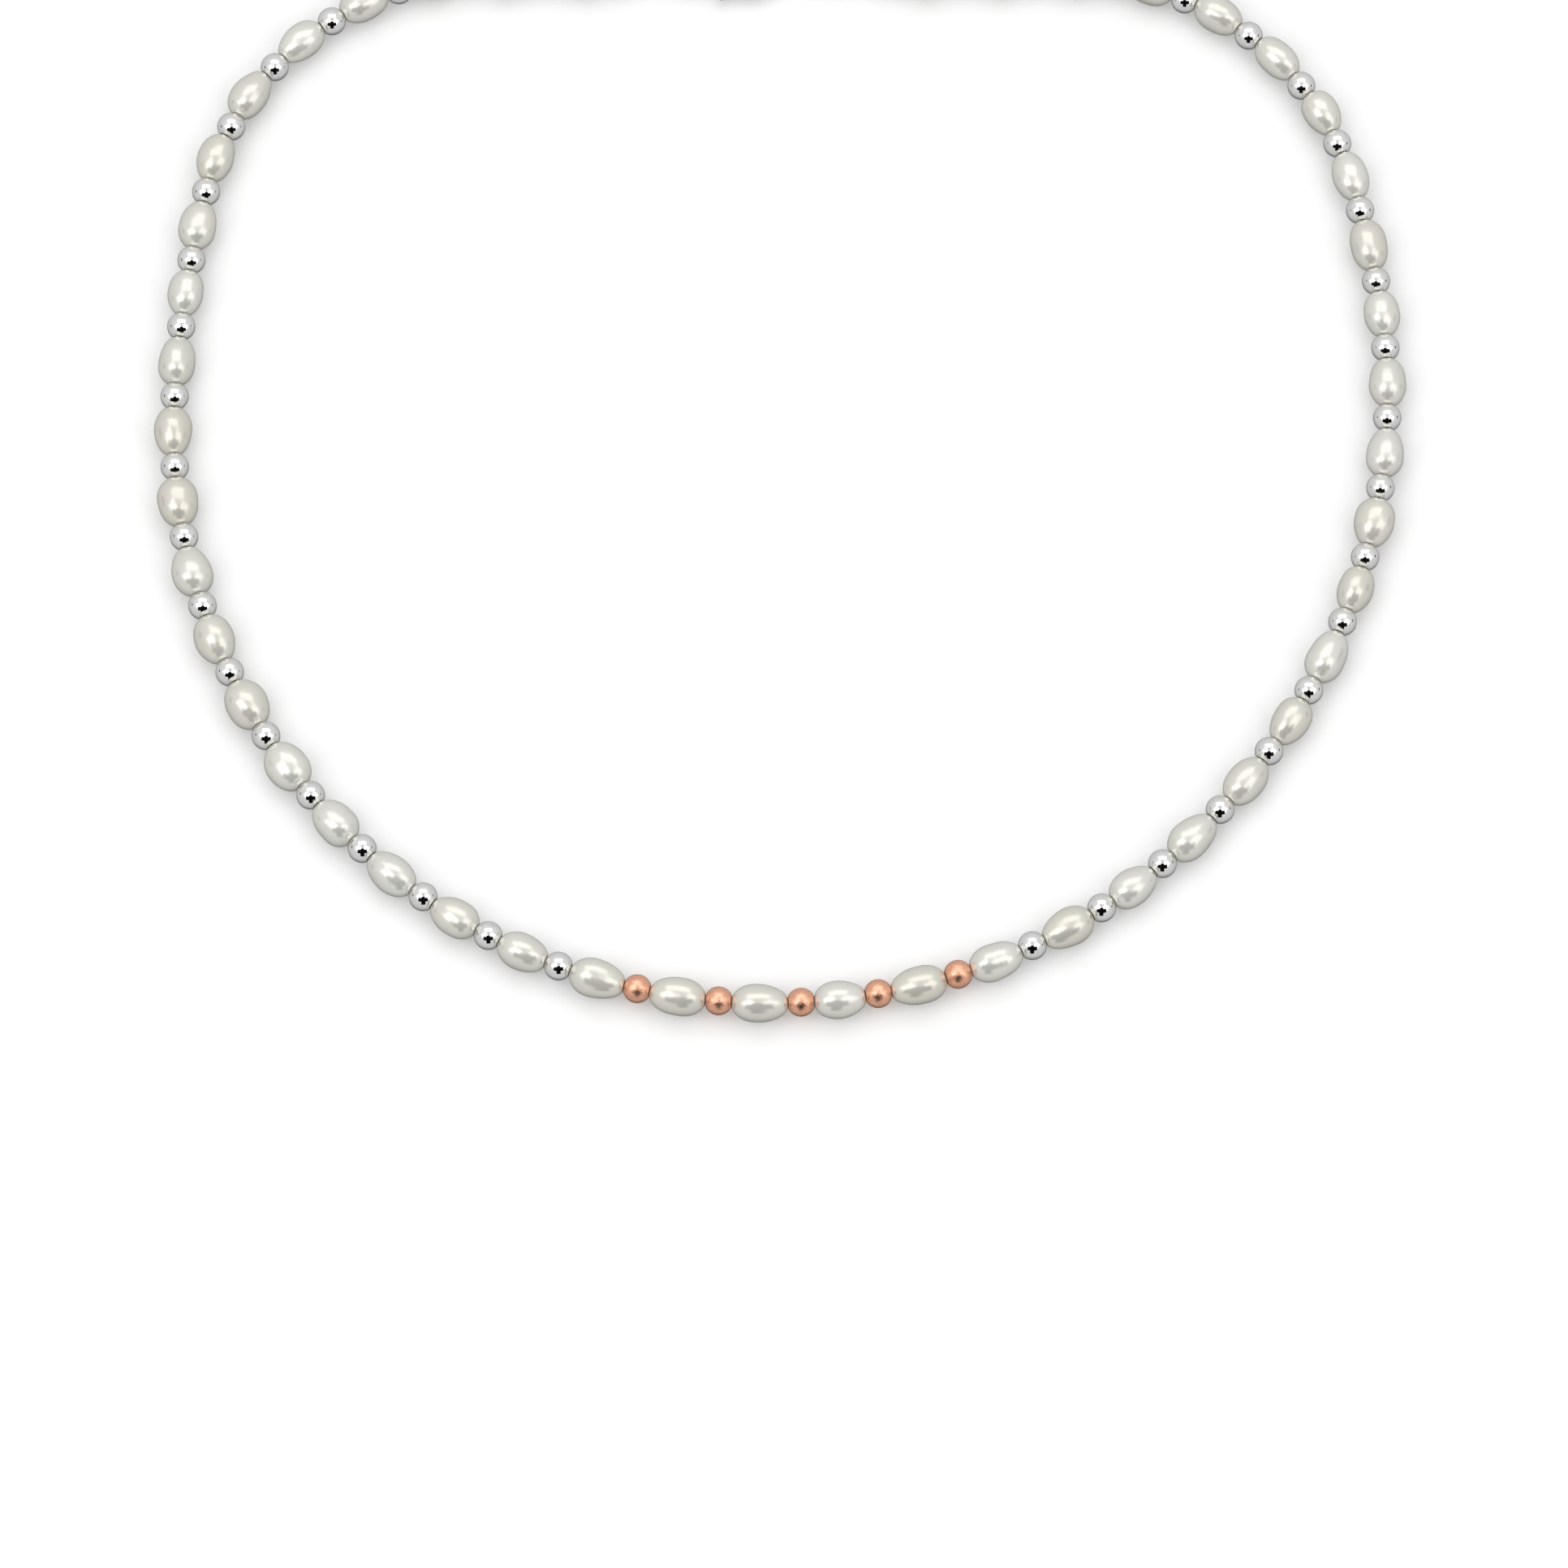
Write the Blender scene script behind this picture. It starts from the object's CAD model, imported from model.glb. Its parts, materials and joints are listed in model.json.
"""Looks of a pearl necklace: oval pearls, metal spacer beads, beading wire and a lobster clasp.

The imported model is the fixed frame. Every pearl and bead is placed from its own CAD solid,
and every length is in metres in that frame.
"""

import json
import logging
import math
from dataclasses import dataclass
from enum import Enum
from itertools import zip_longest
from typing import Any, Iterable, Optional, Sequence

import bmesh
import bpy
import numpy as np
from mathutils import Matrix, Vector


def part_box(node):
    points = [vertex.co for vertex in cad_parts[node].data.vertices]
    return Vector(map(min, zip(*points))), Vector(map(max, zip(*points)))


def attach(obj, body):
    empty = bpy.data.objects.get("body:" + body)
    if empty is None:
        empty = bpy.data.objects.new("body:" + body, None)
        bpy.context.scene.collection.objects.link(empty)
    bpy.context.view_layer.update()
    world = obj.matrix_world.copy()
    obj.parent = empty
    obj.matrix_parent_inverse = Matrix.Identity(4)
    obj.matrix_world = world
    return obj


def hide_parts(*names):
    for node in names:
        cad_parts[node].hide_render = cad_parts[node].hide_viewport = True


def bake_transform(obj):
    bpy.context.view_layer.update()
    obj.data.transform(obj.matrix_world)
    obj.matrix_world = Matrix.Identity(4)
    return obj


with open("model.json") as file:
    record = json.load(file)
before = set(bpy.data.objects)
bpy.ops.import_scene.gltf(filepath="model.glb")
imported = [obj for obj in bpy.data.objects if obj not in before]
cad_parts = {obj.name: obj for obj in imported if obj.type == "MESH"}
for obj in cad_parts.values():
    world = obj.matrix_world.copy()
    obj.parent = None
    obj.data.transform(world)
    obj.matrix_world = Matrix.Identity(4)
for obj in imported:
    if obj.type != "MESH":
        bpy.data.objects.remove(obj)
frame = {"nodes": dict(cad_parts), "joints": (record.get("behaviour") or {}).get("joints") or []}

MM = 0.001
WELD = 0.0002 * MM
SOLID_GAP = 1.2 * MM
SECTIONS = 7
LOG = logging.getLogger("necklace")
Array = np.ndarray
Colour = tuple[float, float, float, float]


class Slot(Enum):
    """Material slots of the record."""

    PEARL = "pearl"
    SILVER = "silver"
    ROSE_GOLD = "rose_gold"
    WIRE = "wire"


class Side(Enum):
    """The two halves of the strand, with the way each one's end points along X."""

    LEFT = 1.0
    RIGHT = -1.0

    @property
    def word(self) -> str:
        """The side's name in node and body names."""
        return self.name.lower()


# ---------------------------------------------------------------------------
# Shader expressions


class Wires:
    """Adds nodes to a material or a world and hands back their outputs as values to reckon with."""

    def __init__(self, owner: Any) -> None:
        """Empty the owner's node tree.

        Args:
            owner: a new material or world.
        """
        self.owner = owner
        self.owner.use_nodes = True
        self.tree = owner.node_tree
        self.tree.nodes.clear()

    @classmethod
    def material(cls, name: str) -> "Wires":
        """Start on a new material.

        Args:
            name: the material's name.

        Returns:
            Its empty wiring.
        """
        return cls(bpy.data.materials.new(name))

    def node(self, kind: str, settings: Optional[dict[str, Any]] = None,
             inputs: Optional[dict[Any, Any]] = None) -> Any:
        """Add a node, set it up and feed its sockets.

        Args:
            kind: the node's type name.
            settings: properties set before the sockets; "stops" gives a ramp's places and colours.
            inputs: socket name or index to a number, a tuple or a Value.

        Returns:
            The new node.
        """
        made = self.tree.nodes.new(kind)
        for key, value in (settings or {}).items():
            if key == "stops":
                self._stops(made, value)
            else:
                setattr(made, key, value)
        for key, value in (inputs or {}).items():
            self.feed(made.inputs[key], value)
        return made

    def _stops(self, ramp: Any, stops: Sequence[tuple[float, Colour]]) -> None:
        """Give a colour ramp its stops.

        Args:
            ramp: the ramp node.
            stops: pairs of place and colour.
        """
        elements = ramp.color_ramp.elements
        while len(elements) < len(stops):
            elements.new(0.5)
        for element, (place, colour) in zip(elements, stops):
            element.position = place
            element.color = colour

    def feed(self, socket: Any, value: Any) -> None:
        """Set a socket's own value, or link a Value to it.

        Args:
            socket: the input socket.
            value: a number, a tuple or a Value.
        """
        if isinstance(value, Value):
            self.tree.links.new(value.socket, socket)
        else:
            socket.default_value = value

    def noise(self, where: "Value", scale: float, detail: float = 2.0,
              roughness: float = 0.5) -> "Value":
        """Smooth random clouds between 0 and 1.

        Args:
            where: the coordinates.
            scale: clouds per metre.
            detail: octaves.
            roughness: strength of the finer octaves.

        Returns:
            The clouds' value.
        """
        made = self.node("ShaderNodeTexNoise", {"noise_dimensions": "3D"},
                         {"Vector": where, "Scale": scale, "Detail": detail,
                          "Roughness": roughness})
        return Value(self, made.outputs["Fac"])

    def place(self) -> "Value":
        """The surface point in the object's own coordinates."""
        return Value(self, self.node("ShaderNodeTexCoord").outputs["Object"])

    def attribute(self, name: str) -> "Value":
        """A number stored on the mesh.

        Args:
            name: the attribute's name.

        Returns:
            Its value.
        """
        made = self.node("ShaderNodeAttribute", {"attribute_name": name})
        return Value(self, made.outputs["Fac"])

    def mix(self, share: Any, first: Any, second: Any) -> "Value":
        """Blend two colours.

        Args:
            share: 0 for the first colour, 1 for the second.
            first: a colour or a Value.
            second: a colour or a Value.

        Returns:
            The blended colour.
        """
        made = self.node("ShaderNodeMix", {"data_type": "RGBA", "clamp_factor": True},
                         {0: share, 6: first, 7: second})
        return Value(self, made.outputs[2])

    def ramp(self, share: "Value", stops: Sequence[tuple[float, Colour]]) -> "Value":
        """Colours along a scale from 0 to 1.

        Args:
            share: the place on the scale.
            stops: pairs of place and colour.

        Returns:
            The colour.
        """
        made = self.node("ShaderNodeValToRGB", {"stops": stops}, {"Fac": share})
        return Value(self, made.outputs["Color"])

    def bump(self, height: "Value", depth: float) -> "Value":
        """Turn a height between 0 and 1 into a normal.

        Args:
            height: the height.
            depth: metres from 0 to 1.

        Returns:
            The normal.
        """
        made = self.node("ShaderNodeBump", None,
                         {"Strength": 1.0, "Distance": depth, "Height": height})
        return Value(self, made.outputs["Normal"])

    def surface(self, inputs: dict[str, Any]) -> bpy.types.Material:
        """Close the material with a Principled shader.

        Args:
            inputs: the shader's sockets.

        Returns:
            The finished material.
        """
        shader = self.node("ShaderNodeBsdfPrincipled", None, inputs)
        output = self.node("ShaderNodeOutputMaterial")
        self.tree.links.new(shader.outputs["BSDF"], output.inputs["Surface"])
        return self.owner


@dataclass(frozen=True)
class Value:
    """A node's output that adds Math nodes when it is used in an expression."""

    wires: Wires
    socket: Any

    def _math(self, operation: str, *terms: Any) -> "Value":
        """Add a Math node.

        Args:
            operation: the node's operation.
            terms: numbers or Values, in order.

        Returns:
            The result.
        """
        made = self.wires.node("ShaderNodeMath", {"operation": operation},
                               dict(enumerate(terms)))
        return Value(self.wires, made.outputs[0])

    def __add__(self, other: Any) -> "Value":
        """Sum."""
        return self._math("ADD", self, other)

    __radd__ = __add__

    def __sub__(self, other: Any) -> "Value":
        """Difference."""
        return self._math("SUBTRACT", self, other)

    def __rsub__(self, other: Any) -> "Value":
        """Difference, reflected."""
        return self._math("SUBTRACT", other, self)

    def __mul__(self, other: Any) -> "Value":
        """Product."""
        return self._math("MULTIPLY", self, other)

    __rmul__ = __mul__

    def between(self, low: float, high: float) -> "Value":
        """Rise smoothly from 0 at low to 1 at high.

        Args:
            low: where the rise starts.
            high: where it ends.

        Returns:
            The eased value.
        """
        made = self.wires.node("ShaderNodeMapRange",
                               {"interpolation_type": "SMOOTHSTEP", "clamp": True},
                               {"Value": self, "From Min": low, "From Max": high})
        return Value(self.wires, made.outputs["Result"])

    def sine(self) -> "Value":
        """Sine of the value in radians."""
        return self._math("SINE", self)


# ---------------------------------------------------------------------------
# Finishes


@dataclass(frozen=True)
class Nacre:
    """Off-white freshwater nacre with a soft lustre."""

    pale: Colour = (0.760, 0.760, 0.705, 1.0)
    cream: Colour = (0.690, 0.650, 0.560, 1.0)
    pink: Colour = (0.760, 0.690, 0.665, 1.0)
    green: Colour = (0.650, 0.695, 0.600, 1.0)
    cloud: float = 260.0
    blush: float = 0.35
    worn_ends: float = 0.45
    gloss: float = 0.19
    lustre: float = 0.45
    relief: float = 0.010 * MM

    def material(self) -> bpy.types.Material:
        """Wire the nacre: tinted clouds, creamier ends, and growth lines and pits in the relief.

        Returns:
            The material.
        """
        w = Wires.material("nacre")
        spot = w.place()
        tint = w.attribute("tint")
        along = w.attribute("along")
        body = w.mix(tint, self.pale, self.cream)
        pinker = w.noise(spot, self.cloud, 1.0).between(0.50, 0.72)
        body = w.mix(pinker * self.blush, body, self.pink)
        greener = w.noise(spot, self.cloud * 1.7, 1.0).between(0.55, 0.75)
        body = w.mix(greener * self.blush, body, self.green)
        ends = (along * along).between(0.72, 1.0)
        body = w.mix(ends * self.worn_ends, body, self.cream)
        growth = (along * 26.0 + w.noise(spot, 400.0, 1.0) * 7.0).sine() * 0.5 + 0.5
        pits = w.noise(spot, 1800.0, 1.0).between(0.70, 0.82)
        height = growth * 0.30 + w.noise(spot, 520.0, 1.0) * 1.6 - pits * 0.25
        return w.surface({
            "Base Color": body,
            "Roughness": w.noise(spot, 500.0, 1.0) * 0.08 + self.gloss,
            "IOR": 1.6,
            "Metallic": self.lustre,
            "Coat Weight": 0.15,
            "Coat Roughness": 0.12,
            "Normal": w.bump(height, self.relief),
        })


@dataclass(frozen=True)
class PolishedSilver:
    """Bright polished silver with the faintest handling marks."""

    bright: Colour = (0.90, 0.90, 0.89, 1.0)
    dull: Colour = (0.80, 0.80, 0.79, 1.0)
    gloss: float = 0.045
    relief: float = 0.0015 * MM

    def material(self) -> bpy.types.Material:
        """Wire the silver: fine marks that dull it, over the faintest waviness.

        Returns:
            The material.
        """
        w = Wires.material("polished_silver")
        spot = w.place()
        marks = w.noise(spot, 2400.0, 4.0, 0.65)
        return w.surface({
            "Base Color": w.mix(marks.between(0.45, 0.8), self.bright, self.dull),
            "Metallic": 1.0,
            "Roughness": marks.between(0.4, 0.8) * 0.06 + self.gloss,
            "Normal": w.bump(w.noise(spot, 1500.0, 2.0), self.relief),
        })


@dataclass(frozen=True)
class MattRoseGold:
    """Rose gold with a frosted, finely scratched skin."""

    warm: Colour = (1.000, 0.540, 0.370, 1.0)
    deep: Colour = (0.620, 0.240, 0.145, 1.0)
    gloss: float = 0.17
    relief: float = 0.028 * MM

    def material(self) -> bpy.types.Material:
        """Wire the rose gold: a fine grain of darker specks, and scuffs that roughen it.

        Returns:
            The material.
        """
        w = Wires.material("matt_rose_gold")
        spot = w.place()
        grain = w.noise(spot, 7000.0, 3.0, 0.6)
        scuffs = w.noise(spot, 1700.0, 3.0, 0.6)
        return w.surface({
            "Base Color": w.mix(grain.between(0.48, 0.70) * 0.7, self.warm, self.deep),
            "Metallic": 1.0,
            "Roughness": scuffs * 0.16 + self.gloss,
            "Normal": w.bump(grain + scuffs * 1.2, self.relief),
        })


@dataclass(frozen=True)
class SteelCable:
    """Fine bright steel cable."""

    light: Colour = (0.66, 0.66, 0.65, 1.0)
    dark: Colour = (0.34, 0.34, 0.34, 1.0)

    def material(self) -> bpy.types.Material:
        """Wire the cable's steel, darkened by grime.

        Returns:
            The material.
        """
        w = Wires.material("steel_cable")
        grime = w.noise(w.place(), 3000.0, 3.0)
        return w.surface({
            "Base Color": w.mix(grime.between(0.4, 0.8), self.light, self.dark),
            "Metallic": 1.0,
            "Roughness": grime * 0.15 + 0.22,
        })


@dataclass(frozen=True)
class Paper:
    """White studio paper for the table."""

    white: Colour = (0.93, 0.93, 0.93, 1.0)
    relief: float = 0.004 * MM

    def material(self) -> bpy.types.Material:
        """Wire the paper with a faint grain of fibres.

        Returns:
            The material.
        """
        w = Wires.material("white_paper")
        fibre = w.noise(w.place(), 900.0, 3.0)
        return w.surface({
            "Base Color": self.white,
            "Roughness": 0.85,
            "Normal": w.bump(fibre, self.relief),
        })


# ---------------------------------------------------------------------------
# Meshes from numpy grids


def unit(vector: Array) -> Array:
    """Scale vectors to length 1.

    Args:
        vector: one vector or a row of them.

    Returns:
        The unit vectors.
    """
    return vector / np.linalg.norm(vector, axis=-1, keepdims=True)


def grid_faces(rows: int, columns: int, start: int = 0) -> Array:
    """Quads of a grid that closes on itself both ways.

    Corner (i, j) joins (i + 1, j), (i + 1, j + 1) and (i, j + 1), counted round.

    Args:
        rows: points along the profile.
        columns: points round the axis.
        start: number of the grid's first vertex.

    Returns:
        One row of four vertex numbers for each face.
    """
    i, j = np.meshgrid(np.arange(rows), np.arange(columns), indexing="ij")
    near, far = i * columns, ((i + 1) % rows) * columns
    turned = (j + 1) % columns
    quads = np.stack([near + j, near + turned, far + turned, far + j], axis=-1)
    return quads.reshape(-1, 4) + start


def open_faces(rows: int, columns: int, start: int = 0) -> Array:
    """Quads of a tube: closed round its axis, open at both ends.

    Args:
        rows: rings along the tube.
        columns: points round the tube.
        start: number of the grid's first vertex.

    Returns:
        One row of four vertex numbers for each face.
    """
    return grid_faces(rows, columns, start)[: (rows - 1) * columns]


def make_object(name: str, points: Array, quads: Array, finish: bpy.types.Material,
                values: Optional[dict[str, Array]] = None) -> bpy.types.Object:
    """Put arrays of points and quads into a smooth-shaded object at the origin.

    Args:
        name: the object's name.
        points: one row for each vertex.
        quads: one row of four vertex numbers for each face.
        finish: the material.
        values: attribute names and their numbers for each vertex.

    Returns:
        The new object.
    """
    mesh = bpy.data.meshes.new(name)
    mesh.vertices.add(len(points))
    mesh.vertices.foreach_set("co", points.astype(np.float32).ravel())
    mesh.loops.add(quads.size)
    mesh.loops.foreach_set("vertex_index", quads.astype(np.int32).ravel())
    mesh.polygons.add(len(quads))
    mesh.polygons.foreach_set("loop_start", np.arange(0, quads.size, 4, dtype=np.int32))
    mesh.polygons.foreach_set("use_smooth", np.ones(len(quads), bool))
    mesh.update(calc_edges=True)
    mesh.validate()
    for key, numbers in (values or {}).items():
        layer = mesh.attributes.new(key, "FLOAT", "POINT")
        layer.data.foreach_set("value", numbers.astype(np.float32))
    mesh.materials.append(finish)
    made = bpy.data.objects.new(name, mesh)
    bpy.context.scene.collection.objects.link(made)
    return made


def weld(mesh: bpy.types.Mesh) -> None:
    """Merge the vertices that lie on one another, so that poles and loose triangles are closed.

    Args:
        mesh: the mesh, changed in place.
    """
    body = bmesh.new()
    body.from_mesh(mesh)
    bmesh.ops.remove_doubles(body, verts=body.verts, dist=WELD)
    body.to_mesh(mesh)
    body.free()


def across_from(axis: Array) -> tuple[Array, Array]:
    """Two unit vectors square to an axis, the first level with the table.

    Args:
        axis: a unit vector.

    Returns:
        The level vector and the raised one.
    """
    level = unit(np.cross([0.0, 0.0, 1.0], axis))
    return level, np.cross(axis, level)


def tube_points(line: Array, radius: Array, columns: int, twist: Array,
                strands: int, groove: float) -> Array:
    """Points of a twisted cable along a line.

    At an angle a round the line the radius is r (1 - groove + groove |cos(strands (a - twist) / 2)|).

    Args:
        line: centre points.
        radius: the cable's radius at each point.
        columns: points round the cable.
        twist: the strands' turn at each point.
        strands: how many strands show.
        groove: depth of the grooves as a share of the radius.

    Returns:
        One row for each vertex.
    """
    ahead = unit(np.gradient(line, axis=0))
    level = unit(np.cross(np.broadcast_to([0.0, 0.0, 1.0], ahead.shape), ahead))
    raised = np.cross(ahead, level)
    turn = np.linspace(0.0, 2.0 * math.pi, columns, endpoint=False)[None, :]
    lobes = np.abs(np.cos(0.5 * strands * (turn - twist[:, None])))
    reach = radius[:, None] * (1.0 - groove + groove * lobes)
    rings = (line[:, None] + reach[..., None]
             * (np.cos(turn)[..., None] * level[:, None]
                + np.sin(turn)[..., None] * raised[:, None]))
    return rings.reshape(-1, 3)


# ---------------------------------------------------------------------------
# Places of the pearls and beads


@dataclass(frozen=True)
class Place:
    """Where one pearl or bead sits: its middle, its hole's direction and its size."""

    middle: Array
    axis: Array
    length: float
    width: float
    widest: float


def solid_places(node: str, bulk: bool) -> list[Place]:
    """Find the separate solids of a CAD node, in order along it.

    The node's points are sorted along its longest direction and cut wherever two
    neighbours are over SOLID_GAP apart. Each solid's axis is its longest direction, or on
    a bead the direction in which its spread differs most from the middle one.

    Args:
        node: the node's name.
        bulk: true for pearls, whose axis is their longest direction.

    Returns:
        One Place for each solid.
    """
    mesh = frame["nodes"][node].data
    points = np.empty(len(mesh.vertices) * 3, np.float32)
    mesh.vertices.foreach_get("co", points)
    points = points.reshape(-1, 3).astype(float)
    spread = np.linalg.eigh(np.cov((points - points.mean(0)).T))[1][:, -1]
    along = points @ spread
    order = np.argsort(along)
    cuts = np.nonzero(np.diff(along[order]) > SOLID_GAP)[0] + 1
    found = []
    for group in np.split(order, cuts):
        own = np.unique(np.round(points[group], 7), axis=0)
        low, high = own.min(0), own.max(0)
        values, vectors = np.linalg.eigh(np.cov((own - own.mean(0)).T))
        odd = 2 if bulk else int(np.argmax(np.abs(values - np.median(values))))
        axis = vectors[:, odd]
        axis = unit(axis * np.array([1.0, 1.0, 0.0]))
        if axis @ spread < 0.0:
            axis = -axis
        middle = 0.5 * (low + high)
        reach = (own - middle) @ axis
        middle = middle + axis * 0.5 * (reach.max() + reach.min())
        offsets = own - middle
        reach = offsets @ axis
        radius = np.linalg.norm(offsets - reach[:, None] * axis, axis=1)
        found.append(Place(middle, axis, float(np.ptp(reach)), 2.0 * float(radius.max()),
                           float(reach[np.argmax(radius)])))
    return found


@dataclass
class Pearls:
    """Drilled oval pearls of one CAD node.

    With u from -1 to 1 along the axis, the radius is (width / 2) (1 - |u| ^ fullness) ^ 0.5,
    then swollen and pinched by a few gentle waves so that no two pearls are alike.
    """

    node: str
    body: str
    finish: bpy.types.Material
    rows: int = 84
    columns: int = 72
    bore_rows: int = 8
    bore: float = 0.36 * MM
    fullness: float = 2.27
    unround: float = 0.020
    ripple: float = 0.012
    egg: float = 0.12

    def profile(self, place: Place, fullness: float) -> tuple[Array, Array]:
        """Work out the outline, tip to tip and back by the bore.

        Args:
            place: where the pearl sits.
            fullness: the exponent of the outline.

        Returns:
            The places along the axis and the radii.
        """
        half, wide = 0.5 * place.length, 0.5 * place.width
        lip = (1.0 - (self.bore / wide) ** 2) ** (1.0 / fullness)
        stretch = 1.0 / lip
        turn = np.linspace(math.pi, 0.0, self.rows)
        u = np.cos(turn) * lip
        radius = wide * np.sqrt(np.clip(1.0 - np.abs(u) ** fullness, 0.0, None))
        radius[[0, -1]] = self.bore
        back = np.linspace(lip, -lip, self.bore_rows + 2)[1:-1]
        return (np.concatenate([u, back]) * half * stretch,
                np.concatenate([radius, np.full(self.bore_rows, self.bore)]))

    def pearl(self, place: Place, dice: np.random.Generator) -> tuple[Array, dict[str, Array]]:
        """Work out one pearl.

        Args:
            place: where it sits.
            dice: the node's own random numbers.

        Returns:
            Its points, and its tint and the place along the axis at each point.
        """
        reach, radius = self.profile(place, self.fullness - dice.uniform(0.0, 0.12))
        outer = np.arange(len(reach)) < self.rows
        u = reach / (0.5 * place.length)
        turn = np.linspace(0.0, 2.0 * math.pi, self.columns, endpoint=False)[None, :]
        phase = dice.uniform(0.0, 2.0 * math.pi, 5)
        swing = dice.uniform(0.4, 1.0, 4) * self.unround
        waist = np.clip(1.0 - u ** 4, 0.0, 1.0)[:, None]
        shape = (swing[0] * np.cos(turn - phase[0]) * np.cos(1.6 * u[:, None] + phase[4])
                 + swing[1] * np.cos(2.0 * turn - phase[1])
                 + swing[2] * np.cos(3.0 * turn - phase[2] + 2.0 * u[:, None])
                 + dice.uniform(-self.egg, self.egg) * u[:, None]
                 + self.ripple * dice.uniform(0.3, 1.0)
                 * np.sin(dice.uniform(4.0, 7.0) * u[:, None] + phase[3]))
        shape = np.where(outer[:, None], 1.0 - self.unround + waist * shape, 1.0)
        wide = radius[:, None] * shape
        lean = place.widest * np.clip(1.0 - u ** 2, 0.0, 1.0) * outer
        level, raised = across_from(place.axis)
        points = (place.middle + (reach + lean)[:, None, None] * place.axis
                  + (wide * np.cos(turn))[..., None] * level
                  + (wide * np.sin(turn))[..., None] * raised)
        flat = points.reshape(-1, 3)
        tint = np.full(len(flat), np.clip(dice.normal(0.30, 0.24), 0.0, 0.95))
        return flat, {"tint": tint, "along": np.repeat(u, self.columns)}

    def build(self) -> bpy.types.Object:
        """Build the node's pearls as one piece.

        Returns:
            The piece.
        """
        dice = np.random.default_rng(sum(map(ord, self.node)) * 7 + 5)
        parts = [self.pearl(place, dice) for place in solid_places(self.node, True)]
        rows = self.rows + self.bore_rows
        size = rows * self.columns
        quads = np.concatenate([grid_faces(rows, self.columns, k * size)
                                for k in range(len(parts))])
        values = {key: np.concatenate([part[1][key] for part in parts]) for key in parts[0][1]}
        made = make_object(self.node + "_nacre", np.concatenate([p[0] for p in parts]),
                           quads, self.finish, values)
        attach(made, self.body)
        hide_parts(self.node)
        return made


@dataclass
class Beads:
    """Hollow metal beads of one CAD node, with rolled lips round their holes.

    The outline is the outer ball, a small round on the lip, the hole, the inner ball
    and the other lip, turned round the hole's axis.
    """

    node: str
    body: str
    slot: Slot
    finish: bpy.types.Material
    columns: int = 64
    ball_rows: int = 44
    lip_rows: int = 6
    hole: float = 0.65 * MM
    wall: float = 0.28 * MM
    edge: float = 0.05 * MM

    def profile(self, radius: float) -> tuple[Array, Array]:
        """Work out the closed outline.

        Args:
            radius: the ball's radius.

        Returns:
            The places along the axis and the radii.
        """
        inner = radius - self.wall
        lean = math.asin((self.hole + self.edge) / (radius - self.edge))
        inner_lean = math.asin(self.hole / inner)
        ball = np.linspace(math.pi - lean, lean, self.ball_rows)
        turn = np.linspace(lean, -0.5 * math.pi, self.lip_rows + 1)[1:]
        lip_x = (radius - self.edge) * math.cos(lean) + self.edge * np.cos(turn)
        lip_r = self.hole + self.edge + self.edge * np.sin(turn)
        hollow = np.linspace(inner_lean, math.pi - inner_lean, self.ball_rows)
        reach = np.concatenate([radius * np.cos(ball), lip_x,
                                inner * np.cos(hollow), -lip_x[::-1]])
        out = np.concatenate([radius * np.sin(ball), lip_r,
                              inner * np.sin(hollow), lip_r[::-1]])
        return reach, out

    def build(self) -> bpy.types.Object:
        """Build the node's beads as one piece.

        Returns:
            The piece.
        """
        turn = np.linspace(0.0, 2.0 * math.pi, self.columns, endpoint=False)[None, :]
        points, quads = [], []
        for place in solid_places(self.node, False):
            reach, radius = self.profile(0.5 * place.width)
            level, raised = across_from(place.axis)
            ring = (place.middle + reach[:, None, None] * place.axis
                    + (radius[:, None] * np.cos(turn))[..., None] * level
                    + (radius[:, None] * np.sin(turn))[..., None] * raised)
            quads.append(grid_faces(len(reach), self.columns, sum(map(len, points))))
            points.append(ring.reshape(-1, 3))
        made = make_object(self.node + "_shell", np.concatenate(points),
                           np.concatenate(quads), self.finish)
        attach(made, self.body)
        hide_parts(self.node)
        return made


# ---------------------------------------------------------------------------
# Beading wire, crimps, rings and clasp


def smooth_line(knots: Array, steps: int) -> Array:
    """Run a smooth line through knots.

    Between two knots the line is the Catmull-Rom cubic: half of the sum of 2 P1,
    (P2 - P0) t, (2 P0 - 5 P1 + 4 P2 - P3) t^2 and (3 P1 - P0 - 3 P2 + P3) t^3.

    Args:
        knots: the points to pass through.
        steps: points made for each span.

    Returns:
        The line's points; knot k is point k times steps.
    """
    padded = np.concatenate([[2.0 * knots[0] - knots[1]], knots, [2.0 * knots[-1] - knots[-2]]])
    p0, p1, p2, p3 = (padded[k:len(padded) - 3 + k, None, :] for k in range(4))
    t = np.linspace(0.0, 1.0, steps, endpoint=False)[None, :, None]
    spans = 0.5 * (2.0 * p1 + (p2 - p0) * t + (2.0 * p0 - 5.0 * p1 + 4.0 * p2 - p3) * t ** 2
                   + (3.0 * p1 - p0 - 3.0 * p2 + p3) * t ** 3)
    return np.concatenate([spans.reshape(-1, 3), knots[-1:]])


def joint_point(name: str) -> Array:
    """Return a joint's place at rest."""
    return np.array(next(j["pos_m"] for j in frame["joints"] if j["name"] == name), float)


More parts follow.
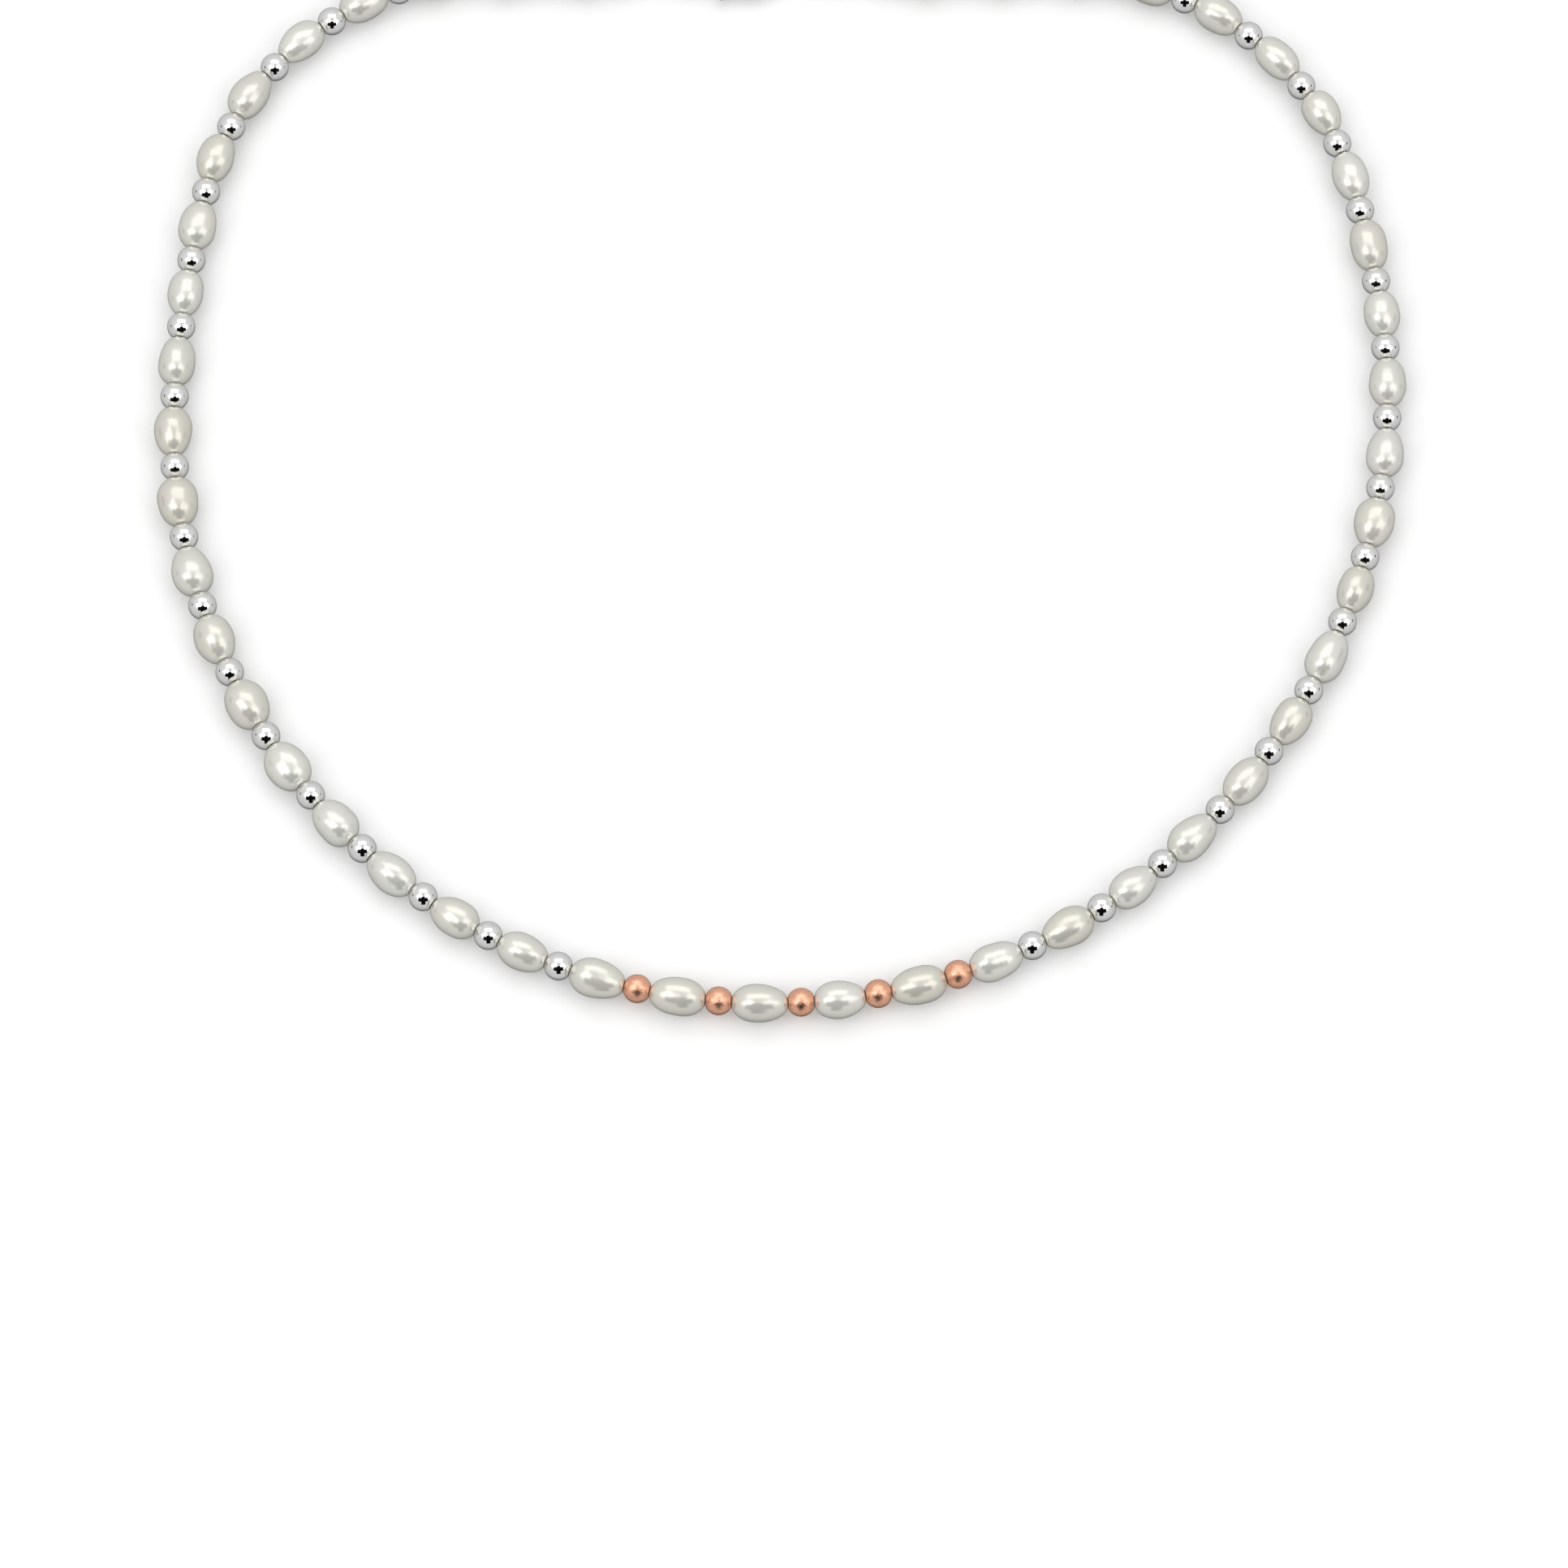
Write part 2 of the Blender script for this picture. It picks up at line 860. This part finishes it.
@dataclass
class EndLoop:
    """The wire's turned-back end: out by the crimp, round a loop and back into the last bead."""

    start: float = 3.05 * MM
    shift: float = 0.42 * MM
    loop_r: float = 1.2 * MM
    neck_r: float = 1.5 * MM
    run_out: tuple[float, float, int] = (0.25, 0.93, 6)
    run_back: tuple[float, float, int] = (0.9, 0.2, 8)
    bend_points: int = 8
    loop_points: int = 40

    @property
    def lean(self) -> float:
        """Angle that the wire turns outwards before it goes round the loop."""
        return math.acos((0.5 * self.shift + self.neck_r) / (self.neck_r + self.loop_r))

    def line(self, bead: Array, along: float) -> Array:
        """Work out the centre line beyond the last bead.

        The neck turns outwards on one circle, the loop goes round a second and the
        neck's mirror image leads back alongside.

        Args:
            bead: the last bead's middle.
            along: 1 or -1, the way the end points along X.

        Returns:
            The line's points, from the bead's middle to the tail's tip.
        """
        lean = self.lean
        hub = (self.neck_r + self.loop_r) * math.sin(lean)
        bend = np.linspace(0.0, lean, self.bend_points)
        loop = np.linspace(-0.5 * math.pi - lean, 0.5 * math.pi + lean, self.loop_points)[1:-1]
        neck_x = self.neck_r * np.sin(bend)
        neck_y = -0.5 * self.shift - self.neck_r * (1.0 - np.cos(bend))
        out, back = (np.linspace(*run) * self.start for run in (self.run_out, self.run_back))
        x = np.concatenate([out, self.start + neck_x, self.start + hub + self.loop_r * np.cos(loop),
                            self.start + neck_x[::-1], back])
        y = np.concatenate([np.full(len(out), -0.5 * self.shift), neck_y, self.loop_r * np.sin(loop),
                            -neck_y[::-1], np.full(len(back), 0.5 * self.shift)])
        flat = np.stack([along * x, y + 0.5 * self.shift, np.zeros_like(x)], axis=1)
        return bead + flat


@dataclass
class BeadingWire:
    """Fine twisted cable that threads one half of the strand and bends at its joints."""

    side: Side
    finish: bpy.types.Material
    radius: float = 0.2 * MM
    steps: int = 10
    columns: int = 18
    strands: int = 7
    lay: float = 2.6 * MM
    groove: float = 0.16
    give: float = 0.8 * MM

    def ordered(self, node: str, bulk: bool, near: Array) -> list[Place]:
        """Places of a node's solids, sorted outwards from a point."""
        return sorted(solid_places(node, bulk),
                      key=lambda p: float(np.linalg.norm(p.middle - near)))

    def knots(self) -> Array:
        """Find the middles of every bead and pearl of this half.

        Returns:
            The middles, from the front's middle bead to the last bead.
        """
        word = self.side.word
        way = -self.side.value
        front_beads = solid_places("front_beads", False)
        middle = front_beads[1].middle
        own = [p for p in front_beads + solid_places("front_pearls", True)
               if way * (p.middle[0] - middle[0]) > 1.0 * MM]
        chain = [middle] + [p.middle for p in
                            sorted(own, key=lambda p: way * (p.middle[0] - middle[0]))]
        for k in range(1, SECTIONS + 1):
            near = joint_point(f"{word}_lift_{k}")
            chain.append(solid_places(f"{word}_hinge_bead_{k}", False)[0].middle)
            pearls = self.ordered(f"{word}_pearls_{k}", True, near)
            beads = self.ordered(f"{word}_beads_{k}", False, near)
            chain += [p.middle for pair in zip_longest(pearls, beads) for p in pair if p]
        return np.array(chain)

    def length_piece(self, name: str, line: Array) -> bpy.types.Object:
        """Make one closed length of cable.

        Args:
            name: the piece's name.
            line: its centre line.

        Returns:
            The piece.
        """
        run = np.concatenate([[0.0], np.cumsum(np.linalg.norm(np.diff(line, axis=0), axis=1))])
        radius = np.full(len(line), self.radius)
        radius[[0, -1]] = 0.0
        points = tube_points(line, radius, self.columns, 2.0 * math.pi * run / self.lay,
                             self.strands, self.groove)
        made = make_object(name, points, open_faces(len(line), self.columns), self.finish)
        weld(made.data)
        return made

    def build(self) -> list[bpy.types.Object]:
        """Build this half's lengths, two for each loose bead.

        A section is six knots long: its hinge bead, then pearls and beads in turn. One length
        ends at the hinge bead's middle, and the next runs on from there.

        Returns:
            The pieces.
        """
        word = self.side.word
        knots = self.knots()
        line = smooth_line(knots, self.steps)
        line = np.concatenate([line, EndLoop().line(knots[-1], self.side.value)])
        made = []
        for k in range(1, SECTIONS + 1):
            before = "front" if k == 1 else f"{word}_section_{k - 1}"
            hinge, after = f"{word}_hinge_{k}", f"{word}_section_{k}"
            first = 6 * k - 5 if k > 1 else 0
            bead, last = 6 * k - 2, 6 * k + 1
            end = len(line) if k == SECTIONS else last * self.steps + 1
            spans = (("swing", first * self.steps, bead * self.steps + 1, before, hinge),
                     ("lift", bead * self.steps, end, hinge, after))
            for joint, low, high, near_body, far_body in spans:
                piece = self.length_piece(f"{word}_wire_{joint}_{k}", line[low:high])
                pivot = joint_point(f"{word}_{joint}_{k}")
                ahead = unit(knots[bead + 1] - knots[bead - 1])
                tuple(pivot - self.give * ahead)
                tuple(pivot + self.give * ahead)
                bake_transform(piece)
                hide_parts("beading_wire")
                made.append(piece)
        return made


@dataclass
class Crimp:
    """Crimp tube squeezed flat across its middle over the doubled wire."""

    side: Side
    finish: bpy.types.Material
    columns: int = 48
    rows: int = 24
    wall: float = 0.34 * MM
    squeeze: float = 0.16
    bite: float = 2.2
    edge: float = 0.12

    def build(self) -> bpy.types.Object:
        """Build the crimp.

        With u from -1 to 1 along it, the outer radius is r (1 - edge |u|^8), which rounds both
        rims, times 1 - squeeze sin(angle)^2 e^(-(bite u)^2).

        Returns:
            The piece.
        """
        word = self.side.word
        low, high = (np.array(corner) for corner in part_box(f"crimp_{word}"))
        middle, half = 0.5 * (low + high), 0.5 * (high[0] - low[0])
        outer = 0.5 * (high[2] - low[2])
        u = np.cos(np.linspace(math.pi, 0.0, self.rows))
        rim = 1.0 - self.edge * np.abs(u) ** 8
        reach = np.concatenate([u, u[::-1]]) * half
        radius = np.concatenate([outer * rim, (outer - self.wall) / rim[::-1]])
        turn = np.linspace(0.0, 2.0 * math.pi, self.columns, endpoint=False)[None, :]
        dent = self.squeeze * np.exp(-(self.bite * reach[:, None] / half) ** 2) * np.sin(turn) ** 2
        wide = radius[:, None] * (1.0 - dent * (radius[:, None] > outer - 0.5 * self.wall))
        shape = np.broadcast_to(reach[:, None], wide.shape)
        points = middle + np.stack([shape, wide * np.cos(turn), wide * np.sin(turn)], axis=-1)
        made = make_object(f"crimp_{word}_tube", points.reshape(-1, 3),
                           grid_faces(2 * self.rows, self.columns), self.finish)
        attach(made, f"{word}_section_{SECTIONS}")
        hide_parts(f"crimp_{word}")
        return made


@dataclass
class Ring:
    """Round wire ring that stands upright, with the fine seam where it was closed."""

    node: str
    body: str
    seam_at: float
    finish: bpy.types.Material
    wire_r: float = 0.4 * MM
    rows: int = 160
    columns: int = 40
    seam: float = 0.14
    seam_width: float = 0.045

    def build(self) -> bpy.types.Object:
        """Build the ring: a circle of radius R swept by a circle of radius r.

        At an angle d from the seam, r is the wire's radius times 1 - seam e^(-(d / seam_width)^2).

        Returns:
            The piece.
        """
        low, high = (np.array(corner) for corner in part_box(self.node))
        middle = 0.5 * (low + high)
        main_r = 0.5 * (high[2] - low[2]) - self.wire_r
        a = np.linspace(0.0, 2.0 * math.pi, self.rows, endpoint=False)[:, None]
        b = np.linspace(0.0, 2.0 * math.pi, self.columns, endpoint=False)[None, :]
        apart = np.abs((a - self.seam_at + math.pi) % (2.0 * math.pi) - math.pi)
        thin = self.wire_r * (1.0 - self.seam * np.exp(-(apart / self.seam_width) ** 2))
        wide = main_r + thin * np.cos(b)
        points = middle + np.stack([wide * np.cos(a), thin * np.sin(b), wide * np.sin(a)], axis=-1)
        made = make_object(self.node + "_round", points.reshape(-1, 3),
                           grid_faces(self.rows, self.columns), self.finish)
        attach(made, self.body)
        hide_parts(self.node)
        return made


@dataclass
class Clasp:
    """Lobster clasp: cast body and sprung lever with soft edges, rivet and leaf spring.

    Body and lever start from their CAD solids, are remeshed evenly and smoothed,
    and their claw band is domed: at an ellipse's share q of the claw's outline the
    height is multiplied by 1 - dome ((q - crest) / (1 - crest))^2.
    """

    silver: bpy.types.Material
    steel: bpy.types.Material
    grain: float = 0.085 * MM
    passes: int = 6
    body_polish: float = 0.05 * MM
    lever_polish: float = 0.10 * MM
    dome: float = 0.42
    crest: float = 0.80
    claw: tuple[float, float] = (3.9 * MM, 2.6 * MM)
    leaf_reach: float = 0.75 * MM

    def copied(self, node: str, name: str) -> bpy.types.Object:
        """Copy a clasp node's welded mesh into a piece of its own.

        Args:
            node: the CAD node.
            name: the piece's name.

        Returns:
            The piece, with no parent and no material.
        """
        source = frame["nodes"][node]
        mesh = source.data.copy()
        mesh.transform(source.matrix_world)
        mesh.materials.clear()
        weld(mesh)
        made = bpy.data.objects.new(name, mesh)
        bpy.context.scene.collection.objects.link(made)
        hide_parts(node)
        return made

    def cast(self, node: str, body: str, polish: float) -> bpy.types.Object:
        """Make the softened, domed copy of a clasp node.

        Args:
            node: the CAD node.
            body: the body that it rides on.
            polish: metres taken off its skin.

        Returns:
            The piece.
        """
        made = self.copied(node, node + "_cast")
        remesh = made.modifiers.new("even", "REMESH")
        remesh.mode = "VOXEL"
        remesh.voxel_size = self.grain
        smooth = made.modifiers.new("soft", "SMOOTH")
        smooth.iterations = self.passes
        shrink = made.modifiers.new("polished_away", "DISPLACE")
        shrink.strength = -polish
        shrink.mid_level = 0.0
        graph = bpy.context.evaluated_depsgraph_get()
        mesh = bpy.data.meshes.new_from_object(made.evaluated_get(graph))
        made.modifiers.clear()
        made.data = mesh
        self.swell(mesh)
        mesh.materials.append(self.silver)
        mesh.polygons.foreach_set("use_smooth", np.ones(len(mesh.polygons), bool))
        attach(made, body)
        return made

    def leaf(self) -> bpy.types.Object:
        """Make the leaf spring, whose far end the lever pushes over as it turns.

        Returns:
            The piece.
        """
        made = self.copied("clasp_spring", "clasp_leaf")
        made.data.materials.append(self.steel)
        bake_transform(made)
        return made

    def swell(self, mesh: bpy.types.Mesh) -> None:
        """Dome the claw band of a mesh.

        Args:
            mesh: the mesh, changed in place.
        """
        low, high = (np.array(corner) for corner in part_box("clasp_body"))
        middle = 0.5 * (low + high)
        middle[0] = high[0] - self.claw[0]
        points = np.empty(len(mesh.vertices) * 3, np.float32)
        mesh.vertices.foreach_get("co", points)
        points = points.reshape(-1, 3)
        flat = (points[:, :2] - middle[:2]) / np.array(self.claw)
        share = np.clip(np.linalg.norm(flat, axis=1), 0.0, 1.0)
        drop = self.dome * ((share - self.crest) / (1.0 - self.crest)) ** 2
        keep = 1.0 - np.clip(drop, 0.0, self.dome)
        points[:, 2] = middle[2] + (points[:, 2] - middle[2]) * keep
        mesh.vertices.foreach_set("co", points.ravel())
        mesh.update()

    def build(self) -> list[bpy.types.Object]:
        """Build the body, lever and leaf spring, and dress the rivet.

        Returns:
            The four pieces.
        """
        rivet = frame["nodes"]["clasp_rivet"]
        rivet.data.materials.clear()
        rivet.data.materials.append(self.silver)
        return [self.cast("clasp_body", "clasp", self.body_polish),
                self.cast("clasp_lever", "lever", self.lever_polish), self.leaf(), rivet]


# ---------------------------------------------------------------------------
# Studio


@dataclass(frozen=True)
class Panel:
    """A flat panel that shines, or a black one that only shows in reflections."""

    name: str
    azimuth: float
    elevation: float
    wide: float
    tall: float
    power: float = 0.0
    reach: float = 0.9


@dataclass
class Studio:
    """White table, soft panels, black cards and a long lens above the front."""

    elevation: float = 69.2
    distance: float = 1.113
    lens: float = 244.7
    aim: tuple[float, float, float] = (0.32 * MM, -34.82 * MM, 2.2 * MM)
    sky_stops: tuple[tuple[float, float], ...] = (
        (0.00, 0.16), (0.05, 0.24), (0.13, 0.44), (0.30, 0.60), (0.55, 0.66), (1.00, 0.84))
    panels: tuple[Panel, ...] = (
        Panel("key_light", -58.0, 55.0, 0.70, 0.70, 1.9),
        Panel("fill_light", 62.0, 50.0, 0.70, 0.70, 1.3),
        Panel("back_light", 180.0, 62.0, 1.00, 0.50, 1.3),
    )
    cards: tuple[Panel, ...] = (
        Panel("camera_body", 0.0, 44.0, 0.96, 0.36, reach=0.6),
        Panel("camera_stand", 0.0, 36.0, 0.34, 0.80, reach=0.6),
        Panel("tent_seam", 0.0, 74.0, 0.03, 0.50, reach=0.6),
        Panel("left_gap", -97.0, 3.0, 0.13, 0.09, reach=0.6),
        Panel("right_gap", 97.0, 3.0, 0.13, 0.09, reach=0.6),
    )

    def spot(self, azimuth: float, elevation: float, reach: float) -> Array:
        """Work out a point round the aim.

        Args:
            azimuth: its bearing in degrees, 0 at the front and 90 on the right.
            elevation: degrees above level.
            reach: its distance.

        Returns:
            The point.
        """
        turn, rise = math.radians(azimuth), math.radians(elevation)
        way = np.array([math.sin(turn) * math.cos(rise), -math.cos(turn) * math.cos(rise),
                        math.sin(rise)])
        return np.array(self.aim) + reach * way

    def facing(self, thing: bpy.types.Object, place: Array) -> None:
        """Put a light or camera in its place, looking at the aim.

        Args:
            thing: the light or camera.
            place: where it goes.
        """
        thing.location = place
        way = Vector(np.array(self.aim) - place)
        thing.rotation_euler = way.to_track_quat("-Z", "Y").to_euler()

    def table(self) -> bpy.types.Object:
        """Build the white table, which shines on nothing and shows in no reflection.

        Returns:
            The table.
        """
        half = 2.5
        corners = np.array([[-half, -half, 0.0], [half, -half, 0.0],
                            [half, half, 0.0], [-half, half, 0.0]])
        made = make_object("table", corners, np.array([[0, 1, 2, 3]]), Paper().material())
        made.visible_glossy = False
        made.visible_diffuse = False
        return made

    def light(self, panel: Panel) -> bpy.types.Object:
        """Hang one soft panel.

        Args:
            panel: its place, size and power.

        Returns:
            The light.
        """
        data = bpy.data.lights.new(panel.name, "AREA")
        data.shape = "RECTANGLE"
        data.size, data.size_y = panel.wide, panel.tall
        data.energy = panel.power
        lamp = bpy.data.objects.new(panel.name, data)
        bpy.context.scene.collection.objects.link(lamp)
        self.facing(lamp, self.spot(panel.azimuth, panel.elevation, panel.reach))
        return lamp

    def card(self, panel: Panel, finish: bpy.types.Material) -> bpy.types.Object:
        """Hang one black card that shows only in reflections.

        Args:
            panel: its place and size.
            finish: its material.

        Returns:
            The card.
        """
        middle = self.spot(panel.azimuth, panel.elevation, panel.reach)
        away = unit(np.array(self.aim) - middle)
        level, raised = across_from(away)
        signs = np.array([[-1, -1], [1, -1], [1, 1], [-1, 1]]) * 0.5
        corners = middle + signs[:, :1] * panel.wide * level + signs[:, 1:] * panel.tall * raised
        made = make_object(panel.name, corners, np.array([[0, 1, 2, 3]]), finish)
        made.visible_camera = False
        made.visible_diffuse = False
        made.visible_shadow = False
        return made

    def sky(self) -> bpy.types.World:
        """Light the tent: bright overhead, dimmer at the horizon and dim below it.

        Returns:
            The world.
        """
        world = bpy.data.worlds.new("studio")
        w = Wires(world)
        way = w.node("ShaderNodeTexCoord").outputs["Generated"]
        split = w.node("ShaderNodeSeparateXYZ", None, {"Vector": Value(w, way)})
        height = Value(w, split.outputs["Z"]) * 0.5 + 0.5
        glow = w.ramp(height, [(place, (level, level, level, 1.0))
                               for place, level in self.sky_stops])
        backdrop = w.node("ShaderNodeBackground", None, {"Color": glow})
        output = w.node("ShaderNodeOutputWorld")
        w.tree.links.new(backdrop.outputs["Background"], output.inputs["Surface"])
        return world

    def build(self) -> bpy.types.Object:
        """Set up table, lights, cards, tent and camera.

        Returns:
            The camera.
        """
        scene = bpy.context.scene
        self.table()
        for panel in self.panels:
            self.light(panel)
        black = Wires.material("black_card").surface({
            "Base Color": (0.004, 0.004, 0.004, 1.0),
            "Roughness": 1.0,
            "Specular IOR Level": 0.0,
        })
        for panel in self.cards:
            self.card(panel, black)
        scene.world = self.sky()
        scene.view_settings.view_transform = "Standard"
        data = bpy.data.cameras.new("camera")
        data.lens = self.lens
        data.sensor_width = 36.0
        data.clip_start, data.clip_end = 0.05, 20.0
        camera = bpy.data.objects.new("camera", data)
        scene.collection.objects.link(camera)
        self.facing(camera, self.spot(0.0, self.elevation, self.distance))
        scene.camera = camera
        return camera


def strand_parts() -> Iterable[tuple[str, str, Slot]]:
    """List the strand's nodes.

    Yields:
        Node, body and material slot.
    """
    yield "front_pearls", "front", Slot.PEARL
    yield "front_beads", "front", Slot.ROSE_GOLD
    for side in Side:
        for k in range(1, SECTIONS + 1):
            metal = Slot.ROSE_GOLD if k == 1 else Slot.SILVER
            yield f"{side.word}_hinge_bead_{k}", f"{side.word}_hinge_{k}", metal
            yield f"{side.word}_pearls_{k}", f"{side.word}_section_{k}", Slot.PEARL
            yield f"{side.word}_beads_{k}", f"{side.word}_section_{k}", Slot.SILVER


def main() -> None:
    """Build the necklace and its studio, and note both boxes."""
    logging.basicConfig(level=logging.INFO, format="%(name)s: %(message)s")
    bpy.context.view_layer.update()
    Studio().build()
    finishes = {Slot.PEARL: Nacre().material(), Slot.SILVER: PolishedSilver().material(),
                Slot.ROSE_GOLD: MattRoseGold().material(), Slot.WIRE: SteelCable().material()}
    for node, body, slot in strand_parts():
        if slot is Slot.PEARL:
            made = Pearls(node, body, finishes[slot]).build()
        else:
            made = Beads(node, body, slot, finishes[slot]).build()
        LOG.info("%s on %s", made.name, body)
    silver = finishes[Slot.SILVER]
    for side in Side:
        for made in BeadingWire(side, finishes[Slot.WIRE]).build():
            LOG.info("%s", made.name)
        LOG.info("%s", Crimp(side, silver).build().name)
    for ring in (Ring("clasp_ring", "clasp_ring", 2.0, silver),
                 Ring("end_ring", "end_ring", 1.1, silver)):
        LOG.info("%s", ring.build().name)
    for made in Clasp(silver, finishes[Slot.WIRE]).build():
        LOG.info("%s", made.name)


if __name__ == "__main__":
    main()
